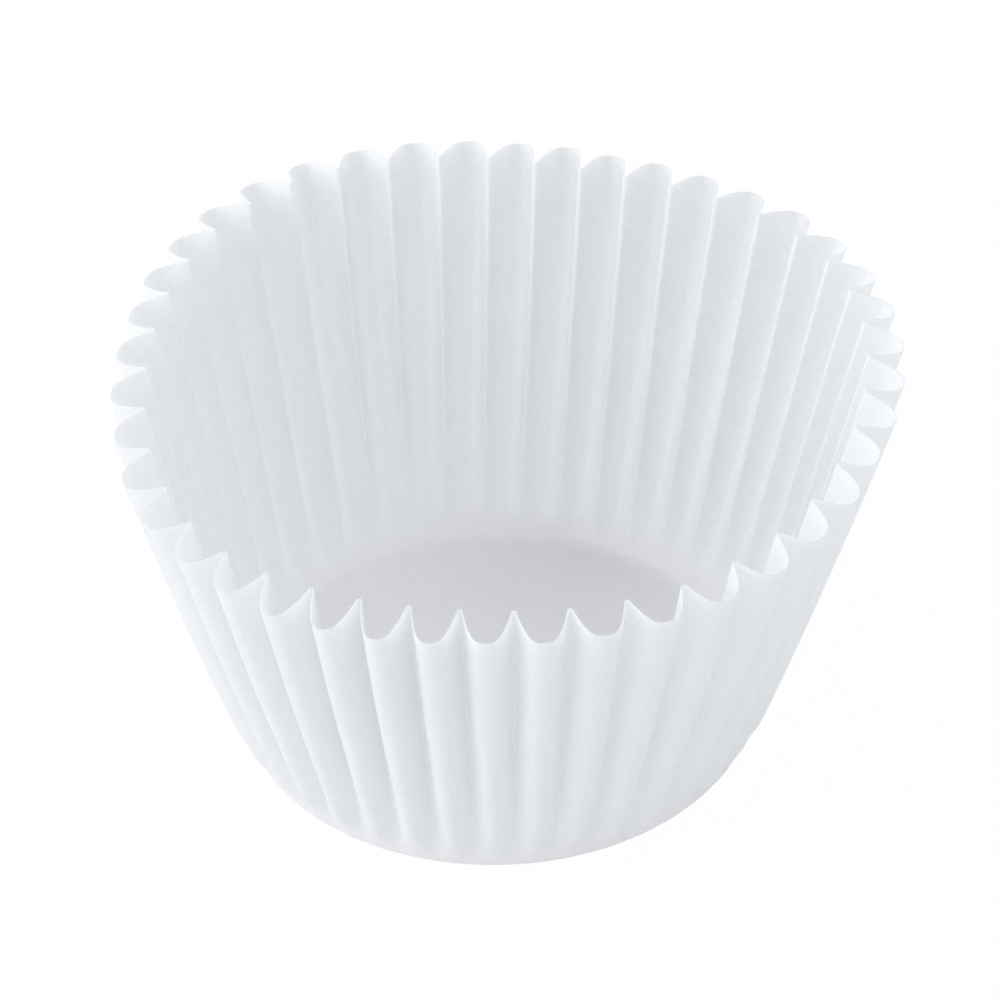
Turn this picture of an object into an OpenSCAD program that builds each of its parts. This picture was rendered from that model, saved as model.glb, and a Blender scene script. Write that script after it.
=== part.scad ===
// Fluted paper cupcake liner, pressed from one flat disc of greaseproof paper.
// The origin is the centre of the base's underside, and +Z points up to the open rim.

/* [Base] */
// Diameter of the base, where the slope of the wall would meet the floor
base_d = 51; // [40:0.5:60]
// Radius of the bend between the base and the wall
bend_r = 1.5; // [0.5:0.1:3]

/* [Wall] */
// Length of the wall up its slope, as it was pressed from the disc
wall_run = 42.4; // [30:0.1:55]
// Diameter of the open rim, across the crests of the flutes
rim_d = 79.2; // [68:0.1:90]
// Thickness of the paper
paper_t = 0.1; // [0.05:0.01:0.3]

/* [Flutes] */
// Number of flutes round the wall
flute_count = 42; // [24:1:60]
// Depth of a flute at the rim, from its inner crease to its outer crest
flute_depth = 3.7; // [1.5:0.1:4.5]
// Fullness of a flute: 2 is a parabola between its creases, and more is boxier
flute_fullness = 2.6; // [1.8:0.1:4]
// How the flutes deepen up the wall: 1 is a straight taper, and less opens them sooner
flute_growth = 0.56; // [0.4:0.02:1.5]
// Share of the wall's length over which the flutes rise out of the bend
flute_lead = 0.13; // [0.02:0.01:0.4]
// How much a flute flattens as it is pulled wide: 0 not at all, and 1 in proportion
flute_give = 0.84; // [0:0.02:1.5]
// Turn of the first crease from +X, in degrees
first_crease = -1.7; // [-10:0.1:10]

/* [Out of round] */
// Heights of the waves that the rim bows out by: once, twice, three and four times round
bow = [0.8, 0.5, 1.1, 1.1]; // [0:0.1:2]
// Direction of the first crest of each of those waves, in degrees
bow_at = [13, -28, 10, 35]; // [-180:1:180]
// How far the creases are drawn along the rim, in degrees: once, twice, three and four times round
crowd = [4.2, 2.7, 1.3, 0.4]; // [0:0.1:5]
// Direction in which each of those waves first draws the creases together, in degrees
crowd_at = [50, 74, 11, 44]; // [-180:1:180]

/* [Hidden] */

// Where the curve of a flute is sampled, from -1 at one crease to 1 at the next
across = [-1, -0.8, -0.55, -0.28, 0, 0.28, 0.55, 0.8];
// Where the bend is sampled, from 0 at the floor to 1 at the foot of the wall
up_bend = [0, 0.5, 1];
// Where the wall is sampled above its foot, as shares of its length
up_wall = [0.07, 0.14, 0.3, 0.6, 1];

base_r = base_d / 2;
crease_r = rim_d / 2 - flute_depth;
pitch = 360 / flute_count;
even_chord = 2 * crease_r * sin(pitch / 2);
wall_angle = acos((crease_r + flute_depth / 2 - base_r) / wall_run);
bend_run = bend_r * tan(wall_angle / 2);
foot = bend_run / wall_run;

columns = flute_count * len(across);
rings = len(up_bend) + len(up_wall);
paper = [0.93, 0.95, 0.97];

function total(v, i = 0) = i == len(v) ? 0 : v[i] + total(v, i + 1);

// Where crease i stands at the rim, drawn along it by the crowding and off the circle by the bows
function crease_at_rim(i) =
    let (
        even = i * pitch,
        drawn = total([for (k = [1:len(crowd)]) crowd[k - 1] * sin(k * (even - crowd_at[k - 1]))]),
        bowed = total([for (k = [1:len(bow)]) bow[k - 1] * cos(k * (even - bow_at[k - 1]))]),
        angle = first_crease + even - drawn
    )
    (crease_r + bowed) * [cos(angle), sin(angle)];

// Paper doesn't stretch, so a flute that is pulled wider than the even pitch is shallower
function depth_for(chord) = flute_depth * pow(even_chord / chord, flute_give);

// One generator of the wall: its foot on the base circle, its chord point and its fold at the rim
function generator(i, u) =
    let (
        share = (u + 1) / 2,
        turn = first_crease + pitch * (i + share),
        from = crease_at_rim(i),
        to = crease_at_rim(i + 1),
        chord = norm(to - from),
        outward = [to.y - from.y, from.x - to.x] / chord,
        fold = outward * depth_for(chord) * (1 - pow(abs(u), flute_fullness)),
        on_chord = from * (1 - share) + to * share,
        flare = norm(on_chord + fold) - base_r
    )
    [base_r * [cos(turn), sin(turn)], on_chord, fold, sqrt(pow(wall_run, 2) - pow(flare, 2))];

// How deep a flute is at share f of the way up the wall, as a share of its depth at the rim
function risen(f) =
    let (q = min(f / flute_lead, 1))
    pow(f, flute_growth) * q * q * (3 - 2 * q);

// A point of the paper's middle surface on the wall, at share f of the way up a generator
function on_wall(g, f) =
    let (flat = g[0] * (1 - f) + g[1] * f + g[2] * risen(f))
    [flat.x, flat.y, paper_t / 2 + f * g[3]];

// A point of the middle surface in the bend, from the floor at share 0 to the wall's foot at share 1
function in_bend(g, b) =
    let (
        corner = [g[0].x, g[0].y, paper_t / 2],
        floor_edge = [g[0].x * (1 - bend_run / base_r), g[0].y * (1 - bend_run / base_r), paper_t / 2]
    )
    floor_edge * pow(1 - b, 2) + corner * 2 * b * (1 - b) + on_wall(g, foot) * pow(b, 2);

// The middle surface as rings of points, from the floor's edge up to the rim
generators = [for (i = [0:flute_count - 1], u = across) generator(i, u)];
middle = concat(
    [for (b = up_bend) [for (g = generators) in_bend(g, b)]],
    [for (f = up_wall) [for (g = generators) on_wall(g, f)]]
);

// The paper's outward direction at a point, from its neighbours along the ring and up the wall
function outward_at(k, c) =
    let (
        along = middle[k][(c + 1) % columns] - middle[k][(c + columns - 1) % columns],
        up = middle[min(k + 1, rings - 1)][c] - middle[max(k - 1, 0)][c],
        normal = cross(along, up)
    )
    k == 0 ? [0, 0, -1] : normal / norm(normal);

// One face of the paper: side is 1 outside and -1 inside
function skin(side) = [
    for (k = [0:rings - 1], c = [0:columns - 1]) middle[k][c] + side * paper_t / 2 * outward_at(k, c)
];

// Two triangles between ring k and the next one, as seen from outside
function band(k, c, first) =
    let (
        low = first + k * columns,
        next = (c + 1) % columns,
        high = low + columns
    )
    [[low + c, high + c, high + next], [low + c, high + next, low + next]];

function flipped(faces) = [for (f = faces) [f[2], f[1], f[0]]];

module liner() {
    inner = rings * columns;
    rim = inner - columns;
    outside = [for (k = [0:rings - 2], c = [0:columns - 1]) each band(k, c, 0)];
    inside = [for (k = [0:rings - 2], c = [0:columns - 1]) each band(k, c, inner)];
    edge = [
        for (c = [0:columns - 1])
            let (next = (c + 1) % columns)
            each [[rim + c, inner + rim + c, inner + rim + next], [rim + c, inner + rim + next, rim + next]]
    ];
    underside = [[for (c = [0:columns - 1]) c]];
    floor_top = [[for (c = [columns - 1:-1:0]) inner + c]];
    color(paper)
    polyhedron(concat(skin(1), skin(-1)), concat(outside, flipped(inside), edge, underside, floor_top));
}

liner();
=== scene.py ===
import math
import bpy
from mathutils import Matrix, Vector


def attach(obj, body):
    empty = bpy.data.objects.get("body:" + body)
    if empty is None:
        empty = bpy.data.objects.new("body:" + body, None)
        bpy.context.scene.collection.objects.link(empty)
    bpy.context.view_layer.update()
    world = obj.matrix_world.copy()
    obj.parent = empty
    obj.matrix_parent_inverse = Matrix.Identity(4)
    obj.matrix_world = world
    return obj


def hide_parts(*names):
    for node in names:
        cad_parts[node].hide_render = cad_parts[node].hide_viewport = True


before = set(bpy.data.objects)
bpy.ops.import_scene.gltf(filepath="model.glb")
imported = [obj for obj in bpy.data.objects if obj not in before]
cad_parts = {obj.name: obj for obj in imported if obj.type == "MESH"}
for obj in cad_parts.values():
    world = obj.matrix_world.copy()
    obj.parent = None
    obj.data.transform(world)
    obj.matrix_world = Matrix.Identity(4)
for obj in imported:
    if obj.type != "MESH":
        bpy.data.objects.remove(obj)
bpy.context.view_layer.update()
millimetre = 0.001

# Sizes of the liner in millimetres and degrees, as the pressed paper has them
linerSizes = {
    "Flutes": 42,
    "Steps across a flute": 20,
    "Steps round a crease": 4,
    "Rings on the floor": 4,
    "Rings in the bend": 6,
    "Rings up the wall": 40,
    "Base diameter": 51.0,
    "Bend radius": 1.5,
    "Wall run": 42.4,
    "Rim diameter": 79.2,
    "Paper thickness": 0.1,
    "Flute depth": 3.7,
    "Flute fullness": 3.0,
    "Flute growth": 0.56,
    "Flute lead": 0.13,      # share of the wall over which the flutes rise out of the bend
    "Soft foot": 0.75,       # share of the wall over which the folds sharpen
    "Flute give": 0.84,
    "Crease radius": 0.2,
    "First crease": -1.7,
    "Wander": 0.12,          # how far the wall strays from the rule
    "Wander size": 14.0,
    "Depth scatter": 0.05,   # share by which one flute's depth differs from the next
    "Seed": 7,
}
bowHeights = (0.8, 0.5, 1.1, 1.1)       # waves of the rim, once to four times round
bowDirections = (13, -28, 10, 35)
crowdAmounts = (4.2, 2.7, 1.3, 0.4)     # how far the creases are drawn along the rim
crowdDirections = (50, 74, 11, 44)

paperLook = {
    "colour": (0.973, 0.984, 0.998, 1.0),
    "shade": (0.966, 0.977, 0.992, 1.0),    # in the mottled patches
    "glow": (0.973, 0.984, 0.998, 1.0),     # light that comes through
    "pressed": (0.890, 0.887, 0.898, 1.0),  # painted shade on the floor of the liner, at its darkest
    "paintedShadePalest": (0.976, 0.974, 0.985, 1.0),   # the same painted shade, at its palest
    "pressedAt": (0.9, 2.2, 0.0),           # centimetres, on the flat disc, where the painted shade is darkest
    "paintedShadeReach": 2.2,                      # centimetres away from there, where the painted shade is palest
    "baseEdge": 2.38,                       # centimetres from the middle, where the floor gives way
    "baseFade": 0.36,                       # centimetres up the wall, over which the floor's painted shade dies out
    "translucency": (0.49, 0.57),           # at the foot of the wall, and from half way up it
    "roughness": 0.62,
    "shine": 0.30,
    "thinning": (2.5, 5.0),                 # centimetres from the middle, where those two hold
    "mottling": 2.2,                        # patches per centimetre
    "mottlingRange": (0.3, 0.7),            # of the noise, that the patches' two colours span
    "fibres": 22.0,                         # fibres per centimetre
    "fibreHeight": 0.07,                    # millimetres
    "formation": 0.10,                      # how much the fibres' tone varies
    "roughnessSpread": 0.08,                # how far the fibres stray from that roughness
}


class Field:  # a number at every point, so that the rules below read as plain sums
    def __init__(self, tree, socket):
        self.tree, self.socket = tree, socket

    def math(self, operation, *others):
        node = self.tree.nodes.new("ShaderNodeMath")
        node.operation = operation
        for slot, value in zip(node.inputs, (self,) + others):
            if isinstance(value, Field):
                self.tree.links.new(value.socket, slot)
            else:
                slot.default_value = value
        return Field(self.tree, node.outputs[0])

    def __add__(self, other):
        return self.math("ADD", other)

    def __sub__(self, other):
        return self.math("SUBTRACT", other)

    def __mul__(self, other):
        return self.math("MULTIPLY", other)

    def __truediv__(self, other):
        return self.math("DIVIDE", other)

    def __pow__(self, other):
        return self.math("POWER", other)

    def __neg__(self):
        return self * -1

    def sine(self):
        return self.math("SINE")

    def cosine(self):
        return self.math("COSINE")


def addNode(tree, kind, inputs=None, **settings):
    node = tree.nodes.new(kind)
    for name, value in settings.items():
        setattr(node, name, value)
    for name, value in (inputs or {}).items():
        value = value.socket if isinstance(value, Field) else value
        if isinstance(value, bpy.types.NodeSocket):
            tree.links.new(value, node.inputs[name])
        else:
            node.inputs[name].default_value = value
    return node


def blendOf(first, second, share):
    return first * (-share + 1) + second * share


def lengthOf(x, y):
    return (x * x + y * y).math("SQRT")


def linerInputs():
    sizes = dict(linerSizes)
    for k in range(4):
        sizes[f"Bow {k + 1} height"] = bowHeights[k]
        sizes[f"Bow {k + 1} direction"] = bowDirections[k]
        sizes[f"Crowd {k + 1} amount"] = crowdAmounts[k]
        sizes[f"Crowd {k + 1} direction"] = crowdDirections[k]
    return sizes


archSpacing = 1.15      # above 1, the steps across a flute lie closer together near its creases
ringSpacing = 1.35      # above 1, the rings lie closer together near the foot of the wall
edgeGap = 0.0006        # share of the wall between its last two rings, so that the cut edge stays crisp


def linerTree(paper):
    tree = bpy.data.node_groups.new("flutedLiner", "GeometryNodeTree")
    tree.interface.new_socket("Liner", in_out="OUTPUT", socket_type="NodeSocketGeometry")
    identifiers = {}
    for name, value in linerInputs().items():
        kind = "NodeSocketInt" if isinstance(value, int) and name in linerSizes else "NodeSocketFloat"
        identifiers[name] = tree.interface.new_socket(name, in_out="INPUT", socket_type=kind).identifier
    entry = tree.nodes.new("NodeGroupInput")
    size = {name: Field(tree, entry.outputs[name]) for name in identifiers}

    # A plain grid for the middle of the paper: one column for each step round the wall, with one
    # more on either side of the seam, and one ring for each step up it
    columns = size["Flutes"] * size["Steps across a flute"]
    rings = size["Rings on the floor"] + size["Rings in the bend"] + size["Rings up the wall"] + 2
    grid = addNode(tree, "GeometryNodeMeshGrid", {
        "Size X": 1.0, "Size Y": 1.0, "Vertices X": columns + 3, "Vertices Y": rings})
    number = Field(tree, addNode(tree, "GeometryNodeInputIndex").outputs[0])
    column = ((number + 0.5) / rings).math("FLOOR")
    ring = number - column * rings
    flute = ((column - 0.5) / size["Steps across a flute"]).math("FLOOR")
    step = column - 1 - flute * size["Steps across a flute"]
    halfSteps = size["Steps across a flute"] * 0.5
    fromCrease = halfSteps - (step - halfSteps).math("ABSOLUTE")     # steps to the nearer crease
    isLater = step.math("GREATER_THAN", halfSteps)

    baseRadius = size["Base diameter"] * 0.5
    creaseRadius = size["Rim diameter"] * 0.5 - size["Flute depth"]
    pitch = (size["Flutes"] ** -1) * math.tau
    evenChord = (pitch * 0.5).sine() * creaseRadius * 2
    firstCrease = size["First crease"].math("RADIANS")

    def creaseAtRim(number):
        around = number * pitch
        drawn = bowed = None
        for k in range(1, 5):
            crowdAt = size[f"Crowd {k} direction"].math("RADIANS")
            crowd = size[f"Crowd {k} amount"].math("RADIANS") * ((around - crowdAt) * k).sine()
            bowAt = size[f"Bow {k} direction"].math("RADIANS")
            bow = size[f"Bow {k} height"] * ((around - bowAt) * k).cosine()
            drawn = drawn + crowd if drawn else crowd
            bowed = bowed + bow if bowed else bow
        angle = firstCrease + around - drawn
        radius = creaseRadius + bowed
        return radius * angle.cosine(), radius * angle.sine()

    # The rim: a chord between two creases, and the fold that stands out from it
    fromX, fromY = creaseAtRim(flute)
    toX, toY = creaseAtRim(flute + 1)
    alongX, alongY = toX - fromX, toY - fromY
    chord = lengthOf(alongX, alongY)
    scatter = addNode(tree, "FunctionNodeRandomValue", {
        "Min": -1.0, "Max": 1.0, "ID": flute.math("FLOORED_MODULO", size["Flutes"]).math("ROUND"),
        "Seed": size["Seed"]}, data_type="FLOAT")
    scattered = Field(tree, scatter.outputs["Value"]) * size["Depth scatter"] + 1
    depth = size["Flute depth"] * (evenChord / chord) ** size["Flute give"] * scattered

    # Across a flute: a full arch, with a round nose where it meets its neighbour. The arch starts
    # deeper than the nose, so that both have the same place and slope where they join.
    def joinFor(flank):
        noseWide = size["Crease radius"] * flank.sine()
        noseHigh = size["Crease radius"] * (-flank.cosine() + 1)
        left = -(noseWide * 2 / chord) + 1
        start = (depth * (-(left ** size["Flute fullness"]) + 1) - noseHigh) / left ** size["Flute fullness"]
        slope = (depth + start) * size["Flute fullness"] * 2 / chord * left ** (size["Flute fullness"] - 1)
        return slope.math("ARCTANGENT"), noseWide, start

    firstGuess = (depth * size["Flute fullness"] * 2 / chord).math("ARCTANGENT")
    flank, noseWide, start = joinFor(joinFor(firstGuess)[0])
    nose = size["Steps round a crease"]
    spread = ((fromCrease - nose) / (halfSteps - nose)).math("MAXIMUM", 0.0)
    turned = (fromCrease / nose).math("MINIMUM", 1.0) * flank
    isNose = fromCrease.math("LESS_THAN", nose)
    distance = blendOf(noseWide + (chord * 0.5 - noseWide) * spread ** archSpacing,
                       size["Crease radius"] * turned.sine(), isNose)
    full = -((-(distance * 2 / chord) + 1).math("MAXIMUM", 0.0) ** size["Flute fullness"]) + 1
    height = blendOf((depth + start) * full - start, size["Crease radius"] * (-turned.cosine() + 1), isNose)
    share = blendOf(distance / chord, -(distance / chord) + 1, isLater)
    chordX, chordY = blendOf(fromX, toX, share), blendOf(fromY, toY, share)
    outX, outY = alongY / chord, -alongX / chord
    flare = lengthOf(chordX + outX * height, chordY + outY * height) - baseRadius
    rimHeight = (size["Wall run"] ** 2 - flare * flare).math("SQRT")

    # The wall: every generator is a straight line from the base circle, plus the fold's own growth,
    # which starts as a soft wave and sharpens on its way up
    wave = depth * 0.5 * (-(share * math.tau).cosine() + 1)
    turn = firstCrease + (flute + share) * pitch
    baseX, baseY = baseRadius * turn.cosine(), baseRadius * turn.sine()
    meanFlare = creaseRadius + size["Flute depth"] * 0.5 - baseRadius
    flareAngle = (meanFlare / size["Wall run"]).math("ARCCOSINE")
    bendRun = size["Bend radius"] * (flareAngle * 0.5).math("TANGENT")
    foot = bendRun / size["Wall run"]

    def onWall(f):
        risen = (f / size["Flute lead"]).math("MINIMUM", 1.0)
        grown = f ** size["Flute growth"] * risen * risen * (-(risen * 2) + 3)
        sharpened = -((-(f / size["Soft foot"]).math("MINIMUM", 1.0) + 1) ** 2) + 1
        fold = blendOf(wave, height, sharpened) * grown
        return blendOf(baseX, chordX, f) + outX * fold, blendOf(baseY, chordY, f) + outY * fold, f * rimHeight

    onFloor = ring / size["Rings on the floor"]
    pastFloor = ring - size["Rings on the floor"]
    inBend = (pastFloor / size["Rings in the bend"]).math("MINIMUM", 1.0).math("MAXIMUM", 0.0)
    aboveBend = pastFloor - size["Rings in the bend"]
    climbed = (aboveBend / size["Rings up the wall"]).math("MAXIMUM", 0.0).math("MINIMUM", 1.0)
    isLast = aboveBend.math("GREATER_THAN", size["Rings up the wall"] + 0.5)
    tip = (isLast - 1) * edgeGap + 1
    up = blendOf(foot, tip, climbed ** ringSpacing)
    inset = -(bendRun / baseRadius) + 1
    footX, footY, footZ = onWall(foot)
    lower, middle, higher = (-inBend + 1) ** 2, inBend * (-inBend + 1) * 2, inBend ** 2
    bendX = baseX * inset * lower + baseX * middle + footX * higher
    bendY = baseY * inset * lower + baseY * middle + footY * higher
    bendZ = footZ * higher
    wallX, wallY, wallZ = onWall(up)
    isFloor = ring.math("LESS_THAN", size["Rings on the floor"])
    isWall = aboveBend.math("GREATER_THAN", 0.5)
    pointX = blendOf(blendOf(bendX, wallX, isWall), baseX * inset * onFloor, isFloor)
    pointY = blendOf(blendOf(bendY, wallY, isWall), baseY * inset * onFloor, isFloor)
    pointZ = blendOf(bendZ, wallZ, isWall) * (-isFloor + 1)
    point = addNode(tree, "ShaderNodeCombineXYZ", {
        "X": pointX, "Y": pointY, "Z": pointZ + size["Paper thickness"] * 0.5})
    shaped = addNode(tree, "GeometryNodeSetPosition", {
        "Geometry": grid.outputs["Mesh"], "Position": point.outputs[0]})

    # Paper strays a little from any rule, most at the rim
    noise = addNode(tree, "ShaderNodeTexNoise", {
        "Scale": size["Wander size"] ** -1, "Detail": 1.0, "W": size["Seed"]}, noise_dimensions="4D")
    centred = addNode(tree, "ShaderNodeVectorMath", {
        0: noise.outputs[1], 1: (0.5, 0.5, 0.5)}, operation="SUBTRACT")
    stray = addNode(tree, "ShaderNodeVectorMath", {
        0: centred.outputs[0], "Scale": size["Wander"] * 2 * climbed}, operation="SCALE")
    strayed = addNode(tree, "GeometryNodeSetPosition", {
        "Geometry": shaped.outputs[0], "Offset": stray.outputs[0]})

    # Where each point lay in the flat disc, in centimetres, for the fibres
    slope = blendOf(bendRun * inBend * 2 + baseRadius * inset, baseRadius + size["Wall run"] * up, isWall)
    flat = blendOf(slope, baseRadius * inset * onFloor, isFloor) * 0.1
    flatPlace = addNode(tree, "ShaderNodeCombineXYZ", {"X": flat * turn.cosine(), "Y": flat * turn.sine()})

    # Both faces of the paper as one closed grid: out from the middle of the underside, up the outside,
    # over the cut edge and down the inside
    closedGrid = addNode(tree, "GeometryNodeMeshGrid", {
        "Size X": 1.0, "Size Y": 1.0, "Vertices X": columns + 1, "Vertices Y": rings * 2})
    around = ((number + 0.5) / (rings * 2)).math("FLOOR")
    row = number - around * rings * 2
    isInside = row.math("GREATER_THAN", rings - 0.5)
    source = (around + 1) * rings + blendOf(row, rings * 2 - 1 - row, isInside)

    def fromMiddle(value):
        return addNode(tree, "GeometryNodeSampleIndex", {
            "Geometry": strayed.outputs[0], "Value": value, "Index": source.math("ROUND")},
            data_type="FLOAT_VECTOR", domain="POINT").outputs[0]

    normal = addNode(tree, "GeometryNodeInputNormal").outputs[0]
    middlePlace = addNode(tree, "GeometryNodeInputPosition").outputs[0]
    halfPaper = addNode(tree, "ShaderNodeVectorMath", {
        0: fromMiddle(normal), "Scale": size["Paper thickness"] * (-isInside + 0.5)}, operation="SCALE")
    faced = addNode(tree, "ShaderNodeVectorMath", {
        0: fromMiddle(middlePlace), 1: halfPaper.outputs[0]}, operation="ADD")
    thick = addNode(tree, "GeometryNodeSetPosition", {
        "Geometry": closedGrid.outputs["Mesh"], "Position": faced.outputs[0]})
    mapped = addNode(tree, "GeometryNodeStoreNamedAttribute", {
        "Geometry": thick.outputs[0], "Name": "flatDisc", "Value": fromMiddle(flatPlace.outputs[0])},
        data_type="FLOAT_VECTOR", domain="POINT")
    sized = addNode(tree, "GeometryNodeTransform", {
        "Geometry": mapped.outputs[0], "Scale": (millimetre, millimetre, millimetre)})
    closed = addNode(tree, "GeometryNodeMergeByDistance", {"Geometry": sized.outputs[0], "Distance": 1e-6})
    smooth = addNode(tree, "GeometryNodeSetShadeSmooth", {"Geometry": closed.outputs[0]})
    real = addNode(tree, "GeometryNodeRealizeInstances", {"Geometry": smooth.outputs[0]})
    dressed = addNode(tree, "GeometryNodeSetMaterial", {"Geometry": real.outputs[0], "Material": paper})
    leave = tree.nodes.new("NodeGroupOutput")
    tree.links.new(dressed.outputs[0], leave.inputs[0])
    return tree, identifiers


def makeLiner(paper):
    tree, identifiers = linerTree(paper)
    source = bpy.data.objects.new("linerSource", bpy.data.meshes.new("linerSource"))
    bpy.context.scene.collection.objects.link(source)
    folding = source.modifiers.new("folding", "NODES")
    folding.node_group = tree
    for name, value in linerInputs().items():
        folding[identifiers[name]] = value if name in linerSizes else float(value)
    depsgraph = bpy.context.evaluated_depsgraph_get()
    evaluated = source.evaluated_get(depsgraph)
    mesh = bpy.data.meshes.new_from_object(evaluated, preserve_all_data_layers=True, depsgraph=depsgraph)
    bpy.data.objects.remove(source)
    mesh.name = "foldedLiner"
    piece = bpy.data.objects.new("foldedLiner", mesh)
    bpy.context.scene.collection.objects.link(piece)
    return piece


def makePaper():
    paper = bpy.data.materials.new("greaseproofPaper")
    paper.use_nodes = True
    tree = paper.node_tree
    tree.nodes.clear()
    flat = addNode(tree, "ShaderNodeAttribute", attribute_name="flatDisc").outputs["Vector"]
    patches = addNode(tree, "ShaderNodeTexNoise", {
        "Vector": flat, "Scale": paperLook["mottling"], "Detail": 3.0, "Roughness": 0.6})
    fibres = addNode(tree, "ShaderNodeTexNoise", {
        "Vector": flat, "Scale": paperLook["fibres"], "Detail": 4.0, "Roughness": 0.7, "Distortion": 0.6})
    tone = addNode(tree, "ShaderNodeMix", {
        0: addNode(tree, "ShaderNodeMapRange", {
            "Value": patches.outputs[0], "From Min": paperLook["mottlingRange"][0],
            "From Max": paperLook["mottlingRange"][1]}).outputs[0],
        6: paperLook["shade"], 7: paperLook["colour"]}, data_type="RGBA")
    fromMiddle = addNode(tree, "ShaderNodeVectorMath", {0: flat}, operation="LENGTH")
    # Painted shade on the floor of the liner: darkest at one spot near its back right edge, paler with
    # distance from it, and dying out up the wall
    fromShadeCentre = addNode(tree, "ShaderNodeVectorMath", {
        0: flat, 1: paperLook["pressedAt"]}, operation="DISTANCE")
    paintedFloorShade = addNode(tree, "ShaderNodeMix", {
        0: addNode(tree, "ShaderNodeMapRange", {
            "Value": fromShadeCentre.outputs["Value"], "From Max": paperLook["paintedShadeReach"]}).outputs[0],
        6: paperLook["pressed"], 7: paperLook["paintedShadePalest"]}, data_type="RGBA").outputs[2]
    pastEdge = (Field(tree, fromMiddle.outputs["Value"]) - paperLook["baseEdge"]).math("MAXIMUM", 0.0)
    isWall = -((-pastEdge / paperLook["baseFade"]).math("EXPONENT")) + 1
    uneven = (Field(tree, fibres.outputs[0]) - 0.5) * paperLook["formation"] + 1

    def toneOf(wallTone):
        smoothTone = addNode(tree, "ShaderNodeMix", {0: isWall, 6: paintedFloorShade, 7: wallTone}, data_type="RGBA")
        return addNode(tree, "ShaderNodeVectorMath", {
            0: smoothTone.outputs[2], "Scale": uneven}, operation="SCALE").outputs[0]

    relief = addNode(tree, "ShaderNodeBump", {
        "Height": fibres.outputs[0], "Strength": 1.0, "Distance": paperLook["fibreHeight"] * millimetre})
    rough = addNode(tree, "ShaderNodeMapRange", {
        "Value": fibres.outputs[0], "To Min": paperLook["roughness"] - paperLook["roughnessSpread"],
        "To Max": paperLook["roughness"] + paperLook["roughnessSpread"]})
    face = addNode(tree, "ShaderNodeBsdfPrincipled", {
        "Base Color": toneOf(tone.outputs[2]), "Roughness": rough.outputs[0],
        "Specular IOR Level": paperLook["shine"], "Normal": relief.outputs[0]})
    through = addNode(tree, "ShaderNodeBsdfTranslucent", {
        "Color": toneOf(paperLook["glow"]), "Normal": relief.outputs[0]})
    passed = addNode(tree, "ShaderNodeMapRange", {
        "Value": fromMiddle.outputs["Value"],
        "From Min": paperLook["thinning"][0], "From Max": paperLook["thinning"][1],
        "To Min": paperLook["translucency"][0], "To Max": paperLook["translucency"][1]})
    both = addNode(tree, "ShaderNodeMixShader", {
        0: passed.outputs[0], 1: face.outputs[0], 2: through.outputs[0]})
    addNode(tree, "ShaderNodeOutputMaterial", {"Surface": both.outputs[0]})
    return paper


piecePaper = makePaper()
liner = makeLiner(piecePaper)
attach(liner, "root")
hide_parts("liner")
print("liner folded:", len(liner.data.vertices), "vertices,", len(liner.data.polygons), "faces")

studio = {
    "ambient": 0.84,         # light from the walls of the studio, all round
    "floorColour": (0.84, 0.84, 0.84, 1.0),
    "floorShare": 0.98,      # how much of the floor is seen as plain white
    "floorSize": 6.0,
    "floorAhead": 1.2,       # keeps the diagonal of the floor's face clear of the liner
    "floorDrop": 0.0001,     # keeps the floor just clear of the underside
}
lamps = {
    # name: place in metres, width, power in watts
    "windowHigh": ((-1.1, -0.35, 0.95), 0.9, 2.3),
    "windowLow": ((-1.4, -0.2, 0.35), 0.8, 4.4),
    "windowFront": ((-1.1, -1.0, 0.5), 0.8, 2.3),
}


def seenDirectly(tree):
    path = addNode(tree, "ShaderNodeLightPath")
    camera, glossy, passed = (
        Field(tree, path.outputs[name]) for name in ("Is Camera Ray", "Is Glossy Ray", "Is Transmission Ray"))
    return camera.math("MAXIMUM", glossy).math("MAXIMUM", passed)


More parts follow.
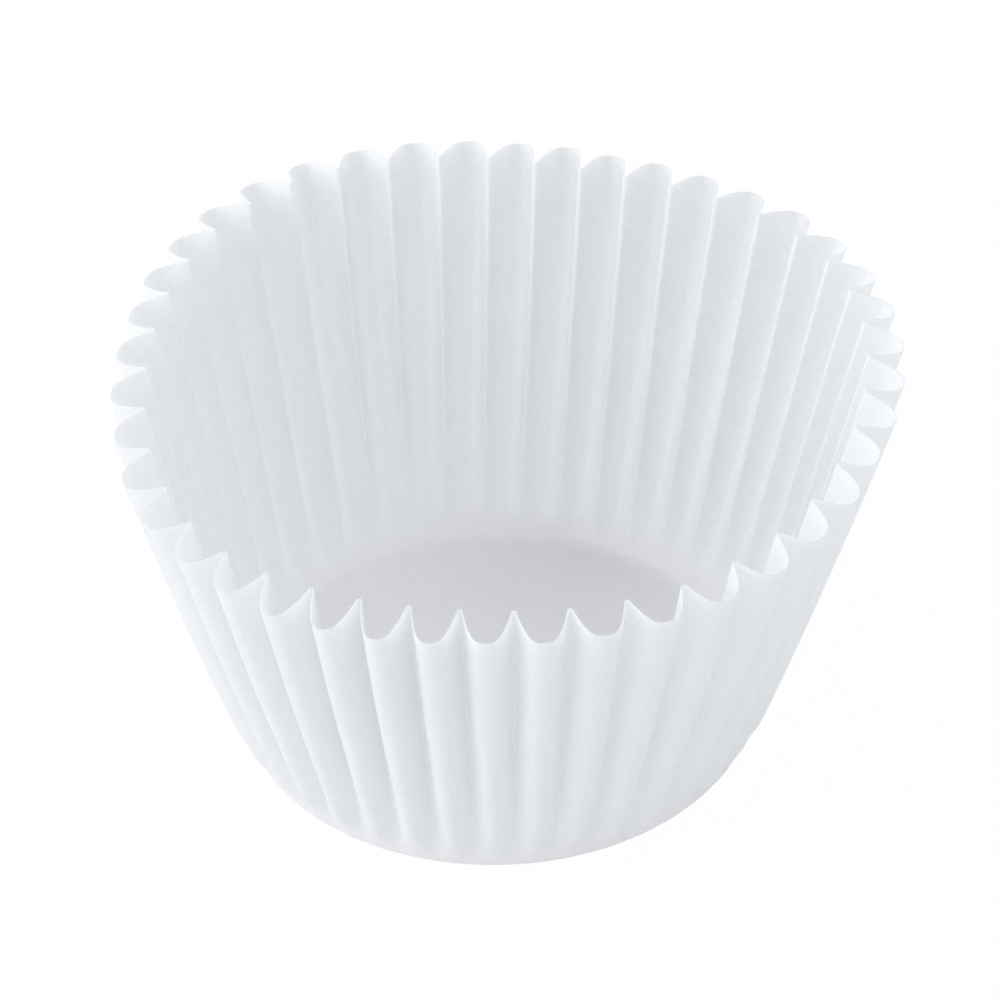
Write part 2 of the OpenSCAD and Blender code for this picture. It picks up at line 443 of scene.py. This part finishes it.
def makeStudio():
    world = bpy.data.worlds.new("studioAir")
    world.use_nodes = True
    tree = world.node_tree
    tree.nodes.clear()
    strength = seenDirectly(tree) * (1 - studio["ambient"]) + studio["ambient"]
    air = addNode(tree, "ShaderNodeBackground", {"Color": (1, 1, 1, 1), "Strength": strength})
    addNode(tree, "ShaderNodeOutputWorld", {"Surface": air.outputs[0]})
    bpy.context.scene.world = world

    half = studio["floorSize"] / 2
    mesh = bpy.data.meshes.new("studioFloor")
    corners = [(-half, -half, 0), (half, -half, 0), (half, half, 0), (-half, half, 0)]
    mesh.from_pydata(corners, [], [(0, 1, 2, 3)])
    mesh.transform(Matrix.Translation((0, studio["floorAhead"], -studio["floorDrop"])))
    floor = bpy.data.objects.new("studioFloor", mesh)
    bpy.context.scene.collection.objects.link(floor)
    cover = bpy.data.materials.new("floorCover")
    cover.use_nodes = True
    tree = cover.node_tree
    tree.nodes.clear()
    lit = addNode(tree, "ShaderNodeBsdfDiffuse", {"Color": studio["floorColour"]})
    white = addNode(tree, "ShaderNodeEmission", {"Color": (1, 1, 1, 1), "Strength": 1.0})
    both = addNode(tree, "ShaderNodeMixShader", {
        0: seenDirectly(tree) * studio["floorShare"], 1: lit.outputs[0], 2: white.outputs[0]})
    addNode(tree, "ShaderNodeOutputMaterial", {"Surface": both.outputs[0]})
    mesh.materials.append(cover)

    for name, (place, width, power) in lamps.items():
        light = bpy.data.lights.new(name, "AREA")
        light.shape = "DISK"
        light.size = width
        light.energy = power
        lamp = bpy.data.objects.new(name, light)
        lamp.location = place
        lamp.rotation_euler = (-Vector(place)).to_track_quat("-Z", "Y").to_euler()
        bpy.context.scene.collection.objects.link(lamp)


camera = {
    "elevation": 39.652,     # degrees above the floor, looking along +Y
    "distance": 0.9782,      # metres
    "sensor": 36,            # millimetres wide
    "lens": 351.68,
    "right": 0.000646,       # where its axis passes beside the middle of the base
    "up": 0.01984,
    "roll": -1.6524,
}


def makeCamera():
    data = bpy.data.cameras.new("photoView")
    data.sensor_width = camera["sensor"]
    data.lens = camera["lens"]
    view = bpy.data.objects.new("photoView", data)
    tilt = Matrix.Rotation(math.radians(90 - camera["elevation"]), 4, "X")
    roll = Matrix.Rotation(math.radians(camera["roll"]), 4, "Z")
    place = tilt @ Vector((camera["right"], camera["up"], camera["distance"]))
    view.matrix_world = Matrix.Translation(place) @ tilt @ roll
    bpy.context.scene.collection.objects.link(view)
    bpy.context.scene.camera = view


makeStudio()
makeCamera()
bpy.context.scene.view_settings.view_transform = "Standard"
print("studio and camera set")
